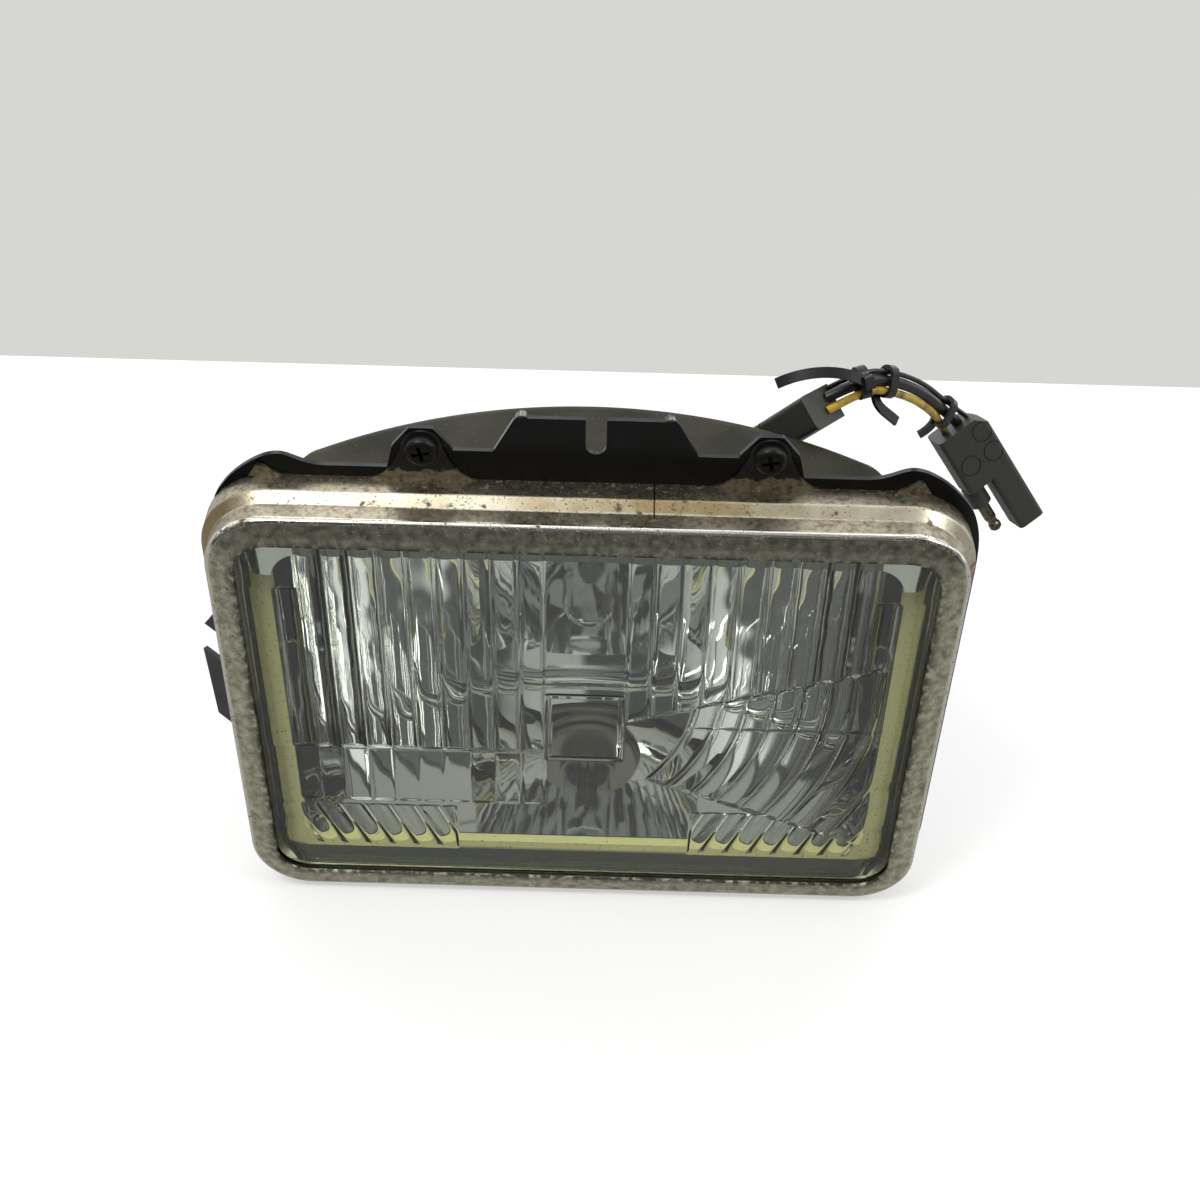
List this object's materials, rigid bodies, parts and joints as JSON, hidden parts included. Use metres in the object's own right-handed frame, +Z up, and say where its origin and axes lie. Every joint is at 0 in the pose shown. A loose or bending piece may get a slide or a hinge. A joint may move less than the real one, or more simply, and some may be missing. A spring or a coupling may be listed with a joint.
{
  "type": "fog light",
  "caption": "Rectangular halogen vehicle lamp insert with prism lens, bright retaining ring, black three-point mounting frame, pressed reflector, bulb with spring clip, and a short harness",
  "frame": {"origin": "Centre of the lower pivot lug's hole, on its underside, which lies on the floor. The lamp's middle plane is X = 0.", "axes": "x to the right, seen from the front; y rearwards, along the axis of the lamp; z up"},
  "size_m": [0.265, 0.175, 0.1765],
  "materials": {
    "ring_steel": "bright, worn",
    "lens_glass": "clear, pressed prisms",
    "sealant": "aged butyl, matt",
    "reflector_steel": "olive grey outside, mirror inside",
    "frame_steel": "black, glossy, worn",
    "screw_steel": "black",
    "nut_steel": "dull zinc",
    "holder_steel": "dull zinc",
    "spring_steel": "spring wire",
    "bulb_metal": "tinned",
    "bulb_quartz": "clear quartz",
    "tungsten": "coil",
    "shield_steel": "thin sheet",
    "insulator_ceramic": "off-white",
    "terminal_brass": "tinned brass blades",
    "plug_plastic": "black",
    "boot_rubber": "black, soft",
    "connector_plastic": "dark grey, moulded",
    "contact_metal": "tarnished tin",
    "sleeve_black": "shiny black",
    "wire_yellow": "yellow insulation",
    "tie_nylon": "black nylon"
  },
  "bodies": {
    "lamp": {"bezel_ring": "ring_steel", "lens": "lens_glass", "lens_seal": "sealant", "reflector": "reflector_steel", "mounting_frame": "frame_steel", "ring_screws": "screw_steel", "sheet_nuts": "nut_steel", "bulb_holder": "holder_steel", "bulb_base": "bulb_metal", "bulb_glass": "bulb_quartz", "filaments": "tungsten", "filament_shield": "shield_steel", "bulb_insulator": "insulator_ceramic", "bulb_terminals": "terminal_brass", "bulb_plug": "plug_plastic", "plug_boot": "boot_rubber", "connector_lower": "connector_plastic", "bullet_pin": "contact_metal", "socket_contact": "contact_metal", "connector_upper": "connector_plastic", "rear_lead": "sleeve_black", "yellow_wire": "wire_yellow", "black_wire": "sleeve_black", "thin_wire": "sleeve_black", "cable_ties": "tie_nylon"},
    "clip": {"bulb_clip": "spring_steel"}
  },
  "joints": [
    {"name": "bulb_clip_hinge", "type": "hinge", "parent": "lamp", "child": "clip", "pos_m": [0, 0.0586, 0.051], "axis": [-1, 0, 0], "range_deg": [0, 100]}
  ]
}
